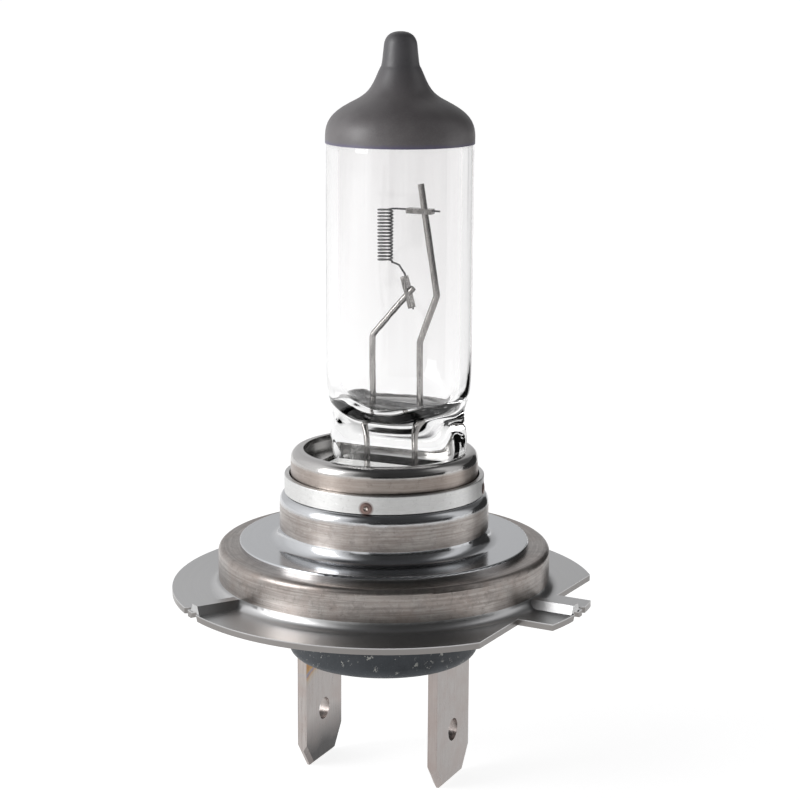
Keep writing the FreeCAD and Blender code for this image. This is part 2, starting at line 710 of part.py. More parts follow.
insulator = new_body("insulator_body")
revolve(insulator, "insulator_drum", [
    ("0", "insulator_bottom"),
    ("insulator_radius", "insulator_bottom"),
    ("insulator_radius", "insulator_disc_bottom"),
    ("insulator_disc_radius", "insulator_disc_bottom"),
    ("insulator_disc_radius", "drum_top - cap_gauge"),
    ("weld_chamber_radius", "drum_top - cap_gauge"),
    ("weld_chamber_radius", "weld_chamber_floor"),
    ("0", "weld_chamber_floor"),
])
edge_round(insulator, "insulator_foot_round",
           rings(insulator.Shape, size("insulator_radius"), size("insulator_bottom")), "insulator_round")
edge_round(insulator, "insulator_disc_round",
           rings(insulator.Shape, size("insulator_disc_radius"), size("insulator_disc_bottom")), "0.3")


def slot(name, side, half_length, level, depth):
    """Slot for one blade, cut downwards from a level."""
    outline = new_sketch(insulator, "XY_Plane", f"{name}_outline", level)
    place = "0 + blade_place" if side > 0 else "0 - blade_place"
    polygon(outline, [
        (f"{place} - blade_half_gauge - slot_gap", f"0 - {half_length} - slot_gap"),
        (f"{place} + blade_half_gauge + slot_gap", f"0 - {half_length} - slot_gap"),
        (f"{place} + blade_half_gauge + slot_gap", f"{half_length} + slot_gap"),
        (f"{place} - blade_half_gauge - slot_gap", f"{half_length} + slot_gap"),
    ])
    pocket(insulator, name, outline, depth)


for side, name in ((1, "key"), (-1, "far")):
    slot(f"blade_slot_{name}", side, "blade_half_width", "blade_shoulder", "blade_shoulder - insulator_bottom + 1")
    slot(f"neck_slot_{name}", side, "tab_half_width", "weld_chamber_floor",
         "weld_chamber_floor - blade_shoulder + 1")


# ---------------------------------------------------------------- terminals

def blade(label, side, post_place):
    """Blade with cut corners, bevelled end, detent hole, neck and the tab that meets its post."""
    body = new_body(label)
    place = "0 + blade_place" if side > 0 else "0 - blade_place"
    plate = new_sketch(body, "YZ_Plane", f"{label}_outline", place)
    polygon(plate, [
        ("0 - blade_half_width", "blade_shoulder"),
        ("0 - blade_half_width", "blade_tip + blade_tip_cut * 1.4"),
        ("0 - blade_half_width + blade_tip_cut", "blade_tip"),
        ("blade_half_width - blade_tip_cut", "blade_tip"),
        ("blade_half_width", "blade_tip + blade_tip_cut * 1.4"),
        ("blade_half_width", "blade_shoulder"),
        ("tab_half_width", "blade_shoulder"),
        ("tab_half_width", "tab_top"),
        ("0 - tab_half_width", "tab_top"),
        ("0 - tab_half_width", "blade_shoulder"),
    ])
    pad(body, f"{label}_plate", plate, "blade_half_gauge * 2", both=True)
    hole = new_sketch(body, "YZ_Plane", f"{label}_hole_outline", place)
    circle(hole, "blade_hole_radius", "0", "blade_hole_level")
    pocket(body, f"{label}_hole", hole, "blade_half_gauge * 4", both=True)
    tip_band = size("blade_tip + blade_tip_cut * 1.4")
    face_planes = [size(place) - size("blade_half_gauge"), size(place) + size("blade_half_gauge")]
    tip_edges = []
    for number, edge in enumerate(body.Shape.Edges, start=1):
        middle = edge.CenterOfMass
        in_tip = edge.BoundBox.ZMax < tip_band + 1e-6
        if in_tip and min(abs(middle.x - plane) for plane in face_planes) < 1e-6:
            tip_edges.append(f"Edge{number}")
    bevel(body, f"{label}_bevel", tip_edges, "blade_bevel")
    tab = new_sketch(body, "XY_Plane", f"{label}_tab_outline", "tab_top")
    inner = f"{post_place} - tab_overhang" if side > 0 else f"{post_place} + tab_overhang"
    polygon(tab, [
        (place, "0 - tab_half_width"),
        (inner, "0 - tab_half_width"),
        (inner, "tab_half_width"),
        (place, "tab_half_width"),
    ])
    pad(body, f"{label}_tab", tab, "blade_half_gauge * 1.5", reverse=True)
    post_hole = new_sketch(body, "XY_Plane", f"{label}_post_hole_outline", "tab_top")
    circle(post_hole, "post_radius", post_place, "0")
    pocket(body, f"{label}_post_hole", post_hole, "blade_half_gauge * 3")
    return body


blade("terminal_blade_key_side", 1, "long_post_place")
blade("terminal_blade_far_side", -1, "short_post_place")


def lead_weld(label, post_place):
    """Ring of weld metal round a post, on top of its tab."""
    cone = doc.addObject("Part::Cone", f"{label}_metal")
    cone.setExpression("Radius1", bound("lead_weld_radius"))
    cone.setExpression("Radius2", bound("post_radius + 0.06"))
    cone.setExpression("Height", bound("lead_weld_rise"))
    core = doc.addObject("Part::Cylinder", f"{label}_core")
    core.setExpression("Radius", bound("post_radius"))
    core.setExpression("Height", bound("lead_weld_rise"))
    for piece in (cone, core):
        piece.setExpression("Placement.Base.x", bound(post_place))
        piece.setExpression("Placement.Base.z", bound("tab_top"))
    weld = doc.addObject("Part::Cut", label)
    weld.Base = cone
    weld.Tool = core
    return keep(weld, label)


lead_weld("lead_weld_key_side", "long_post_place")
lead_weld("lead_weld_far_side", "short_post_place")


# ---------------------------------------------------------------- checks and export

doc.recompute()
for item in doc.Objects:
    if any(word in item.State for word in ("Invalid", "Error")):
        raise RuntimeError(f"{item.Name} failed: {item.State}")

os.makedirs("parts", exist_ok=True)
for part in parts:
    shape = part.Shape
    if shape.isNull() or not shape.isValid():
        raise RuntimeError(f"{part.Label} has no valid shape")
    print(f"{part.Label}: {len(shape.Solids)} solid(s), {shape.Volume:.3f} mm3")
    shape.exportStep(os.path.join("parts", f"{part.Label}.step"))
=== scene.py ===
"""Looks of the headlight bulb: glass, metal finishes, studio and camera. Metres, +Z up."""

import math

import bmesh
import bpy
from mathutils import Matrix, Vector


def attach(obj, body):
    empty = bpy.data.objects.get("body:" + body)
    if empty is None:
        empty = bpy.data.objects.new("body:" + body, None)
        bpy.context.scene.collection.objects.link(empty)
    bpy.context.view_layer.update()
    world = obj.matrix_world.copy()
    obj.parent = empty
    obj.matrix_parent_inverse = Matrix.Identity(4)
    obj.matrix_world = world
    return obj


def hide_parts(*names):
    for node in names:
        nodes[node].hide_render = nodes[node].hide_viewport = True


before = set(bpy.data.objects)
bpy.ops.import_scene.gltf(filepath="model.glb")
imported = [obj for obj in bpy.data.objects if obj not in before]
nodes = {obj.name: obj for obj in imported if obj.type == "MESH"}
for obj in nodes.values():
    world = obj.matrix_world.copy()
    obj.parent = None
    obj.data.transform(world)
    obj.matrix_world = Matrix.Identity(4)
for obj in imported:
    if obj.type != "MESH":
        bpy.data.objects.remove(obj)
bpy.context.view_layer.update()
scene = bpy.context.scene

MM = 0.001
VIEW_TURN = math.radians(25.0)  # the camera looks from 25 degrees round the part's axis
FLOOR_LEVEL = -16.32 * MM  # just under the blade tips

# sizes in millimetres, with heights from the reference plane
BURNER = 1.2  # the burner's axis stands this far along X
TUBE_RADIUS = 5.64
GAS_RADIUS = 4.69
WELD_LEVEL = 7.33
WELD_RING_RADIUS = 7.84
WELD_TURN = math.radians(15.0)  # of the first spot weld
WELD_STEP = math.radians(90.0)  # from one spot weld to the next


# ---------------------------------------------------------------- node helpers

class Nodes:
    """A node tree with short ways to add and link nodes."""

    def __init__(self, tree):
        self.tree = tree

    def set(self, socket, value):
        """Links a socket to an output, or gives it a constant."""
        if hasattr(value, "is_output"):
            self.tree.links.new(value, socket)
        elif isinstance(value, tuple) and socket.type == "RGBA":
            socket.default_value = (*value, 1)
        else:
            socket.default_value = value

    def add(self, kind, inputs=None, **settings):
        node = self.tree.nodes.new(kind)
        for key, value in settings.items():
            setattr(node, key, value)
        for key, value in (inputs or {}).items():
            self.set(node.inputs[key], value)
        return node

    def math(self, operation, first, second=0.0, clamp=False):
        return self.add("ShaderNodeMath", {0: first, 1: second},
                        operation=operation, use_clamp=clamp).outputs[0]

    def length(self, across, along):
        """Length of a flat vector."""
        squares = [self.math("MULTIPLY", side, side) for side in (across, along)]
        return self.math("SQRT", self.math("ADD", *squares))

    def axes(self, place):
        split = self.add("ShaderNodeSeparateXYZ", {0: place})
        return split.outputs[0], split.outputs[1], split.outputs[2]

    def combine(self, across, along, up):
        return self.add("ShaderNodeCombineXYZ", {0: across, 1: along, 2: up}).outputs[0]

    def shift(self, place, by):
        return self.add("ShaderNodeVectorMath", {0: place, 1: by}, operation="ADD").outputs[0]

    def scale(self, place, by):
        return self.add("ShaderNodeVectorMath", {0: place, "Scale": by},
                        operation="SCALE").outputs[0]

    def stretch(self, place, *scales):
        """A place with each axis scaled by itself, for grain that runs one way."""
        parts = zip(self.axes(place), scales)
        return self.combine(*[self.math("MULTIPLY", part, scale) for part, scale in parts])

    def level(self, value, low, high, from_low=0.0, from_high=1.0, **settings):
        """A value mapped from one span to another and kept within it."""
        return self.add("ShaderNodeMapRange", {
            "Value": value, "From Min": from_low, "From Max": from_high,
            "To Min": low, "To Max": high}, **settings).outputs[0]

    def spread(self, noise, low, high):
        """Level over the span that holds nearly all values of a noise."""
        return self.level(noise, low, high, 0.3, 0.7)

    def ramp(self, value, stops, interpolation="LINEAR"):
        """Colour ramp; stops are (position, colour)."""
        node = self.add("ShaderNodeValToRGB", {0: value})
        node.color_ramp.interpolation = interpolation
        elements = node.color_ramp.elements
        for number, (place, colour) in enumerate(stops):
            element = elements[number] if number < 2 else elements.new(place)
            element.position = place
            element.color = (*colour, 1)
        return node.outputs[0]

    def mix(self, factor, first, second, blend="MIX"):
        return self.add("ShaderNodeMix", {0: factor, 6: first, 7: second},
                        data_type="RGBA", blend_type=blend).outputs[2]

    def patch(self, tone, noise, start, end, amount, other):
        """Mixes another colour in, up to an amount, where a noise rises from start to end."""
        return self.mix(self.level(noise, 0.0, amount, start, end), tone, other)


class Graph(Nodes):
    """A new material's node tree, which ends in its Principled shader."""

    def __init__(self, name):
        self.material = bpy.data.materials.new(name)
        self.material.use_nodes = True
        super().__init__(self.material.node_tree)
        self.shader = self.tree.nodes["Principled BSDF"]

    def position(self):
        """Position in millimetres in the part's frame."""
        return self.scale(self.add("ShaderNodeTexCoord").outputs["Object"], 1000.0)

    def facing(self):
        """How squarely the surface faces along X, from -1 to 1."""
        return self.axes(self.add("ShaderNodeTexCoord").outputs["Normal"])[0]

    def around(self, place, turns_scale, rise_scale, radius_scale=0.0, axis_at=0.0):
        """Coordinates bent round an upright axis, for grain, with angle, radius and height."""
        across, along, up = self.axes(place)
        across = self.math("SUBTRACT", across, axis_at)
        angle = self.math("ARCTAN2", along, across)
        radius = self.length(across, along)
        bow = self.combine(self.math("MULTIPLY", self.math("COSINE", angle), turns_scale),
                           self.math("MULTIPLY", self.math("SINE", angle), turns_scale),
                           self.math("ADD", self.math("MULTIPLY", up, rise_scale),
                                     self.math("MULTIPLY", radius, radius_scale)))
        return bow, angle, radius, up

    def noise(self, place, scale, detail=3.0, rough=0.55, distortion=0.0):
        return self.add("ShaderNodeTexNoise", {
            "Vector": place, "Scale": scale, "Detail": detail, "Roughness": rough,
            "Distortion": distortion}).outputs["Fac"]

    def bump(self, height, strength, distance, normal=None):
        """Bump with its distance in millimetres, on top of another normal if there is one."""
        inputs = {"Height": height, "Strength": strength, "Distance": distance * MM}
        if normal is not None:
            inputs["Normal"] = normal
        return self.add("ShaderNodeBump", inputs).outputs[0]

    def finish(self, **inputs):
        """Sets inputs of the shader, named with _ for a space, and returns the material."""
        for key, value in inputs.items():
            self.set(self.shader.inputs[key.replace("_", " ")], value)
        return self.material


def paint(material, *names):
    """Gives CAD nodes their material."""
    for name in names:
        mesh = nodes[name].data
        mesh.materials.clear()
        mesh.materials.append(material)


def toned(colour, factor):
    """A colour made darker or lighter."""
    return tuple(min(1.0, factor * part) for part in colour)


# ---------------------------------------------------------------- turned steel

# where one finish passes into another, in millimetres
LIP = (9.35, 9.6)
SLEEVE_BORE = (6.98, 7.02)
SHOULDER = (5.95, 6.25)
DISC_TOP = (4.03, 4.07)
DRUM_FOOT = (0.05, 0.09)
FLANGE_EDGE = (-0.76, -0.68)
WELD_HALO = (0.44, 0.62)

DULL_EDGE = (0.20, 0.185, 0.175)
HALO_BROWN = (0.22, 0.15, 0.135)
SMOOTH_GRAIN = (0.02, 0.02, 0.02)


def turned_metal(name, colour, dark, rough, polished=(0.5, 0.5, 0.5), polished_rough=0.12,
                 zone=None, grain=(2.0, 12.0, 8.0), anisotropic=0.5, grain_bump=0.12,
                 stain=(0.30, 0.24, 0.21), stain_amount=0.35, finish_tone=None):
    """Steel with fine lines that run round the axis, faint stains and, in its zone, a polish."""
    graph = Graph(name)
    place = graph.position()
    bow, angle, radius, up = graph.around(place, *grain)
    fine = graph.noise(bow, 1.0, 6.0, 0.75)
    finer = graph.noise(bow, 2.7, 5.0, 0.75)
    patches = graph.noise(place, 0.35, 4.0, 0.65, 0.6)
    blotches = graph.noise(place, 0.9, 6.0, 0.75, 0.8)
    spots = graph.noise(place, 2.2, 6.0, 0.8)
    tone = graph.mix(graph.spread(fine, 0.0, 1.0), dark, colour)
    tone = graph.patch(tone, patches, 0.42, 0.72, stain_amount, stain)
    tone = graph.patch(tone, blotches, 0.5, 0.66, stain_amount * 0.9, dark)
    tone = graph.patch(tone, spots, 0.56, 0.68, 0.5, toned(dark, 0.6))
    tone = graph.mix(graph.level(spots, 0.4, 0.0, 0.3, 0.42), tone, toned(colour, 1.35))
    gloss = graph.spread(finer, rough - 0.05, rough + 0.07)
    coarse = graph.spread(finer, grain_bump * 0.4, grain_bump)
    if zone is not None:
        shine = zone(graph, up, radius, blotches)
        bright = graph.mix(graph.spread(fine, 0.0, 0.25), polished, toned(polished, 0.82))
        bright = graph.patch(bright, spots, 0.64, 0.74, 0.3, dark)
        tone = graph.mix(shine, tone, bright)
        smooth = graph.spread(finer, polished_rough - 0.02, polished_rough + 0.04)
        gloss = graph.mix(shine, gloss, smooth)
        coarse = graph.mix(shine, coarse, SMOOTH_GRAIN)
    if finish_tone is not None:
        tone = finish_tone(graph, tone, angle, up)
    lines = graph.bump(finer, coarse, 0.015, graph.bump(spots, 0.10, 0.02))
    tangent = graph.add("ShaderNodeTangent", direction_type="RADIAL", axis="Z").outputs[0]
    return graph.finish(Base_Color=tone, Metallic=1.0, Roughness=gloss, Normal=lines,
                        Tangent=tangent, Anisotropic=anisotropic, Anisotropic_Rotation=0.25)


def ragged(graph, value, wander, amount):
    """A value shifted a little by noise, so that a boundary is not a drawn line."""
    return graph.math("ADD", value, graph.spread(wander, -amount, amount))


def lip_zone(graph, up, radius, wander):
    """Rolled lip and the inside of the sleeve."""
    lip = graph.level(ragged(graph, up, wander, 0.06), 0.0, 1.0, *LIP)
    inside = graph.level(radius, 1.0, 0.0, *SLEEVE_BORE)
    return graph.math("MAXIMUM", lip, inside, clamp=True)


def shoulder_zone(graph, up, radius, wander):
    """Round shoulder above the collar's brushed wall, and the flare and foot disc below it."""
    shoulder = graph.level(ragged(graph, up, wander, 0.10), 0.0, 1.0, *SHOULDER)
    foot = graph.level(up, 1.0, 0.0, *DISC_TOP)
    return graph.math("MAXIMUM", shoulder, foot, clamp=True)


def flange_zone(graph, up, radius, wander):
    """Everything below the drum wall."""
    return graph.level(up, 1.0, 0.0, *DRUM_FOOT)


def rim_tone(graph, tone, angle, up):
    """Sheared edge of the flange, duller than its upper face."""
    return graph.mix(graph.level(up, 0.85, 0.0, *FLANGE_EDGE), tone, DULL_EDGE)


def spot_distance(graph, angle, up):
    """Distance in millimetres from the nearest of the four spot welds."""
    # a whole turn more keeps the angle positive, and half a step puts each weld in mid-step
    turned = graph.math("ADD", graph.math("SUBTRACT", angle, WELD_TURN), 4.5 * WELD_STEP)
    wrapped = graph.math("SUBTRACT", graph.math("MODULO", turned, WELD_STEP), WELD_STEP / 2)
    return graph.length(graph.math("MULTIPLY", wrapped, WELD_RING_RADIUS),
                        graph.math("SUBTRACT", up, WELD_LEVEL))


def halo_tone(graph, tone, angle, up):
    """Brown heat halo round each spot weld."""
    away = spot_distance(graph, angle, up)
    return graph.mix(graph.level(away, 0.9, 0.0, *WELD_HALO), tone, HALO_BROWN)


paint(turned_metal(
    "sleeve_steel", (0.45, 0.40, 0.365), (0.29, 0.25, 0.225), 0.33,
    polished=(0.50, 0.49, 0.48), polished_rough=0.13, zone=lip_zone, grain=(1.6, 9.0, 0.0),
    stain_amount=0.4), "upper_sleeve")
paint(turned_metal(
    "polished_steel", (0.54, 0.505, 0.48), (0.24, 0.215, 0.20), 0.31,
    polished=(0.56, 0.57, 0.585), polished_rough=0.14, zone=shoulder_zone,
    grain=(1.6, 6.0, 8.0), stain_amount=0.55), "base_collar")
paint(turned_metal(
    "cap_steel", (0.50, 0.465, 0.44), (0.20, 0.18, 0.168), 0.33,
    polished=(0.54, 0.54, 0.54), polished_rough=0.30, zone=flange_zone,
    grain=(1.6, 5.0, 7.0), anisotropic=0.3, stain_amount=0.6,
    finish_tone=rim_tone), "cap_ring")
paint(turned_metal(
    "bright_steel", (0.72, 0.72, 0.715), (0.62, 0.62, 0.61), 0.38, grain=(8.0, 10.0, 0.0),
    anisotropic=0.2, grain_bump=0.06, stain=(0.5, 0.48, 0.46), stain_amount=0.12,
    finish_tone=halo_tone), "adjusting_ring")
paint(turned_metal(
    "spring_steel", (0.74, 0.74, 0.73), (0.56, 0.56, 0.55), 0.16, anisotropic=0.1,
    grain_bump=0.06, stain_amount=0.1), "clip_seat_plate", "pinch_clip_front", "pinch_clip_rear")


# ---------------------------------------------------------------- welds and wires

# colours of a weld by the distance from its middle in millimetres
WELD_TONES = [
    (0.0, (0.75, 0.70, 0.66)), (0.10, (0.55, 0.48, 0.44)), (0.16, (0.10, 0.07, 0.06)),
    (0.27, (0.27, 0.19, 0.17)), (0.42, (0.20, 0.135, 0.12))]
POST_SHADE_RISE = (21.5, 24.5)  # heights between which the posts' painted shade sets in
POST_SHADE_BLACK = (0.03, 0.028, 0.03)


def weld_metal():
    """Brown weld metal with a pitted, brighter middle."""
    graph = Graph("weld_metal")
    place = graph.position()
    _, angle, _, up = graph.around(place, 1.0, 1.0)
    grain = graph.noise(place, 5.0, 4.0, 0.7)
    away = ragged(graph, spot_distance(graph, angle, up), grain, 0.08)
    return graph.finish(Base_Color=graph.ramp(away, WELD_TONES), Metallic=0.9, Roughness=0.36,
                        Normal=graph.bump(grain, 0.4, 0.05))


def wire_metal(name, colour, dark, rough, shade_amount=0.0):
    """Drawn wire: lengthwise streaks, small spots, and painted shade that darkens it high up on
    its +X side.
    """
    graph = Graph(name)
    place = graph.position()
    _, _, up = graph.axes(place)
    streak = graph.noise(graph.stretch(place, 9.0, 9.0, 0.8), 1.0, 4.0, 0.65)
    spots = graph.noise(place, 5.0, 3.0, 0.6)
    tone = graph.mix(graph.level(streak, 0.0, 1.0, 0.35, 0.65), dark, colour)
    tone = graph.patch(tone, spots, 0.55, 0.75, 0.4, dark)
    # painted shade: the upper wire is darkened on its +X side, where the posts look dark
    painted_shade = graph.math("MULTIPLY", graph.level(graph.facing(), 0.0, shade_amount, 0.1, 0.75),
                      graph.level(up, 0.0, 1.0, *POST_SHADE_RISE), clamp=True)
    tone = graph.mix(painted_shade, tone, POST_SHADE_BLACK)
    return graph.finish(Base_Color=tone, Metallic=1.0,
                        Roughness=graph.spread(streak, rough - 0.05, rough + 0.06),
                        Normal=graph.bump(streak, 0.08, 0.01))


paint(weld_metal(), "sleeve_weld_spots", "lead_weld_key_side", "lead_weld_far_side")
paint(wire_metal("molybdenum", (0.44, 0.425, 0.41), (0.24, 0.23, 0.225), 0.17,
                 shade_amount=0.85), "long_lead_post", "short_lead_post")
paint(wire_metal("clamp_metal", (0.34, 0.33, 0.32), (0.14, 0.135, 0.13), 0.26),
      "upper_filament_clamp", "lower_filament_clamp")
paint(wire_metal("tungsten", (0.15, 0.15, 0.155), (0.07, 0.07, 0.075), 0.34), "filament_coil")


# ---------------------------------------------------------------- insulator

CERAMIC_DARK = (0.016, 0.021, 0.027)
CERAMIC_LIGHT = (0.032, 0.038, 0.046)
DUST_GREY = (0.14, 0.15, 0.16)
CHIP_GREY = (0.42, 0.42, 0.39)
# kinds of chip: cells to a millimetre, radius of the curl, span of its picking noise, shift
CHIP_KINDS = [(1.0, 0.2108, (0.49, 0.54), 0.0), (1.8, 0.186, (0.49, 0.55), 3.7)]


def curled_chips(graph, place, grit, scale, curl_radius, picking, shift):
    """Mask of one kind of chip: short curls, which only some places have."""
    moved = graph.shift(place, (shift, 2 * shift, shift))
    swirl = graph.add("ShaderNodeTexNoise", {"Vector": moved, "Scale": 2.2, "Detail": 2.0})
    bend = graph.scale(graph.shift(swirl.outputs["Color"], (-0.5, -0.5, -0.5)), 1.1)
    cells = graph.add("ShaderNodeTexVoronoi", {
        "Vector": graph.shift(moved, bend), "Scale": scale, "Randomness": 1.0})
    near = graph.math("ADD", cells.outputs["Distance"],
                      graph.level(grit, -0.2, 0.2, 0.25, 0.75))
    away = graph.math("ABSOLUTE", graph.math("SUBTRACT", near, curl_radius))
    picked = graph.level(graph.noise(moved, 0.5, 2.0, 0.5), 0.0, 1.0, *picking)
    return graph.math("MULTIPLY", graph.level(away, 1.0, 0.0, 0.02, 0.06), picked, clamp=True)


def insulator_plastic():
    """Blue-black moulded ceramic with small pale chips and dust."""
    graph = Graph("dark_insulator")
    place = graph.position()
    cloud = graph.noise(place, 0.6, 4.0, 0.6)
    grit = graph.noise(place, 7.0, 4.0, 0.7)
    large, small = [curled_chips(graph, place, grit, *kind) for kind in CHIP_KINDS]
    broken = graph.level(graph.noise(place, 3.2, 2.0, 0.5), 0.0, 1.0, 0.45, 0.56)
    chips = graph.math("MULTIPLY", graph.math("MAXIMUM", large, small), broken, clamp=True)
    tone = graph.mix(graph.spread(cloud, 0.0, 1.0), CERAMIC_DARK, CERAMIC_LIGHT)
    tone = graph.patch(tone, graph.noise(place, 11.0, 2.0, 0.6), 0.66, 0.74, 0.5, DUST_GREY)
    tone = graph.mix(chips, tone, CHIP_GREY)
    relief = graph.math("SUBTRACT", grit, graph.math("MULTIPLY", chips, 0.8))
    return graph.finish(Base_Color=tone, Roughness=graph.spread(grit, 0.42, 0.6),
                        Normal=graph.bump(relief, 0.35, 0.05), Specular_IOR_Level=0.45)


paint(insulator_plastic(), "insulator_body")


# ---------------------------------------------------------------- blades

BRUSHED_DARK = (0.36, 0.33, 0.315)
BRUSHED_LIGHT = (0.50, 0.47, 0.455)
BLADE_STAIN = (0.38, 0.31, 0.285)
BLADE_SPOT = (0.28, 0.25, 0.24)
BROAD_FACE_SHADE = (0.22, 0.205, 0.20)
BLADE_LOW_SHADE = (0.055, 0.052, 0.052)
EDGE_BROWN = (0.30, 0.255, 0.24)
# heat tints over their span of heights, from bare metal up to straw brown
TINT_SPAN = (-8.35, -6.9)
TINT_SLANT = 0.36
HEAT_TINTS = [
    (0.0, (1.0, 1.0, 1.0)), (0.3, (1.0, 0.93, 0.82)), (0.45, (1.0, 0.72, 0.42)),
    (0.58, (0.62, 0.5, 0.62)), (0.68, (0.55, 0.62, 0.85)), (0.8, (1.0, 0.66, 0.22)),
    (1.0, (0.9, 0.5, 0.16))]
LOW_SHADE_SPAN = (-15.2, -12.0)


def blade_steel():
    """Rolled strip with lengthwise brushing; one broad face has painted shade over it, heat tints
    above and deeper painted shade below.
    """
    graph = Graph("blade_steel")
    place = graph.position()
    across, along, up = graph.axes(place)
    streak = graph.noise(graph.stretch(place, 6.0, 6.0, 0.35), 1.0, 5.0, 0.65)
    cloud = graph.noise(place, 0.5, 3.0, 0.6)
    spots = graph.noise(place, 3.0, 5.0, 0.7)
    tone = graph.mix(graph.level(streak, 0.0, 1.0, 0.32, 0.68), BRUSHED_DARK, BRUSHED_LIGHT)
    tone = graph.patch(tone, cloud, 0.42, 0.65, 0.5, BLADE_STAIN)
    tone = graph.patch(tone, spots, 0.62, 0.75, 0.35, BLADE_SPOT)

    broad = graph.level(graph.facing(), 0.0, 1.0, 0.5, 0.9)
    # painted shade: the broad +X face is made darker than the rest of the strip
    tone = graph.mix(graph.math("MULTIPLY", broad, 0.35), tone, BROAD_FACE_SHADE)

    slanted = graph.math("SUBTRACT", up, graph.math("MULTIPLY", along, TINT_SLANT))
    tint = graph.ramp(graph.level(ragged(graph, slanted, cloud, 0.25), 0.0, 1.0, *TINT_SPAN),
                      HEAT_TINTS)
    tinted = graph.math("MULTIPLY", graph.level(across, 1.0, 0.0, -4.0, 0.0),
                        graph.level(broad, 0.1, 1.0))
    tone = graph.mix(tinted, tone, graph.mix(1.0, tone, tint, "MULTIPLY"))

    # painted shade: the lower part of the broad face is darkened towards the tip
    low_shade = graph.math("MULTIPLY",
                       graph.level(ragged(graph, up, cloud, 0.25), 1.0, 0.0, *LOW_SHADE_SPAN),
                       graph.level(across, 1.0, 0.0, -3.0, 3.0))
    tone = graph.mix(graph.math("MULTIPLY", broad, low_shade, clamp=True), tone, BLADE_LOW_SHADE)
    narrow = graph.math("MULTIPLY", graph.level(broad, 1.0, 0.0),
                        graph.level(across, 0.1, 0.55, -3.0, 3.0))
    tone = graph.mix(narrow, tone, EDGE_BROWN)
    normal = graph.bump(streak, 0.22, 0.02, graph.bump(spots, 0.12, 0.03))
    return graph.finish(Base_Color=tone, Metallic=1.0,
                        Roughness=graph.spread(streak, 0.24, 0.38), Normal=normal)


paint(blade_steel(), "terminal_blade_key_side", "terminal_blade_far_side")


# ---------------------------------------------------------------- coating

COAT_DARK = (0.088, 0.080, 0.083)
COAT_LIGHT = (0.118, 0.110, 0.112)
COAT_GRAIN = (0.155, 0.146, 0.148)
COAT_TIP_SHADE = (0.05, 0.05, 0.056)
COAT_FRINGE = (0.09, 0.08, 0.15)
FRINGE_SPAN = (34.16, 34.42)
TIP_SPAN = (37.6, 42.3)


def grey_coating():
    """Satin baked coating with painted shade that darkens it towards its tip, and a thin violet
    fringe at its lower edge.
    """
    graph = Graph("grey_coating")
    place = graph.position()
    _, _, up = graph.axes(place)
    fine = graph.noise(place, 9.0, 4.0, 0.7)
    cloud = graph.noise(place, 0.5, 3.0, 0.55)
    tone = graph.mix(graph.spread(cloud, 0.0, 1.0), COAT_DARK, COAT_LIGHT)
    tone = graph.patch(tone, fine, 0.45, 0.75, 0.5, COAT_GRAIN)
    high = graph.level(up, 0.0, 1.0, *TIP_SPAN)
    # painted shade: the coating is darkened towards its tip
    tone = graph.mix(graph.level(high, 0.0, 0.72, 0.0, 0.5), tone, COAT_TIP_SHADE)
    fringe = graph.level(ragged(graph, up, cloud, 0.1), 1.0, 0.0, *FRINGE_SPAN)
    tone = graph.mix(graph.math("MULTIPLY", fringe, 0.8, clamp=True), tone, COAT_FRINGE)
    return graph.finish(Base_Color=tone, Roughness=graph.spread(fine, 0.36, 0.50),
                        Normal=graph.bump(fine, 0.16, 0.02), Specular_IOR_Level=0.65)


paint(grey_coating(), "glare_coating")


# ---------------------------------------------------------------- glass

CLEAR_LOW = (0.985, 0.984, 0.984)
CLEAR_HIGH = (0.938, 0.934, 0.934)
STREAK_SHADE_GREY = (0.86, 0.852, 0.852)
REFLECTION_LINE_GREY = (0.42, 0.42, 0.43)
GLASS_SHADE_SPAN = (15.0, 33.5)
REFLECTION_LINE_SPAN = (26.0, 30.0)


def clear_glass():
    """Hard glass with draw lines, painted shade that greys it in streaks under the coating, and
    one painted dark reflection line.
    """
    graph = Graph("clear_glass")
    place = graph.position()
    bow, angle, _, up = graph.around(place, 1.5, 0.02, axis_at=BURNER)
    streaks = graph.noise(bow, 1.0, 4.0, 0.6)
    # painted shade: the glass is greyed towards the coating and in streaks, standing in for the
    # coating's dark reflection
    high = graph.level(up, 0.0, 1.0, *GLASS_SHADE_SPAN)
    painted_shade = graph.mix(high, CLEAR_LOW, CLEAR_HIGH)
    shade_streaks = graph.math("MULTIPLY", graph.level(streaks, 0.0, 1.0, 0.4, 0.62),
                       graph.level(high, 0.25, 0.95))
    painted_shade = graph.mix(shade_streaks, painted_shade, STREAK_SHADE_GREY)
    # painted reflection: one narrow dark line down the tube's side below the coating
    reflection_line = graph.math("MULTIPLY",
                      graph.level(graph.math("ABSOLUTE", angle), 1.0, 0.0, 0.008, 0.026),
                      graph.level(up, 0.0, 0.8, *REFLECTION_LINE_SPAN))
    painted_shade = graph.mix(reflection_line, painted_shade, REFLECTION_LINE_GREY)
    draw_lines = graph.noise(graph.stretch(place, 1.0, 1.0, 0.06), 0.55, 2.0, 0.5)
    ripple = graph.noise(place, 0.28, 2.0, 0.5)
    normal = graph.bump(draw_lines, 0.07, 0.25, graph.bump(ripple, 0.02, 0.3))
    return graph.finish(Base_Color=painted_shade, Roughness=0.0, IOR=1.47, Transmission_Weight=1.0,
                        Normal=normal)


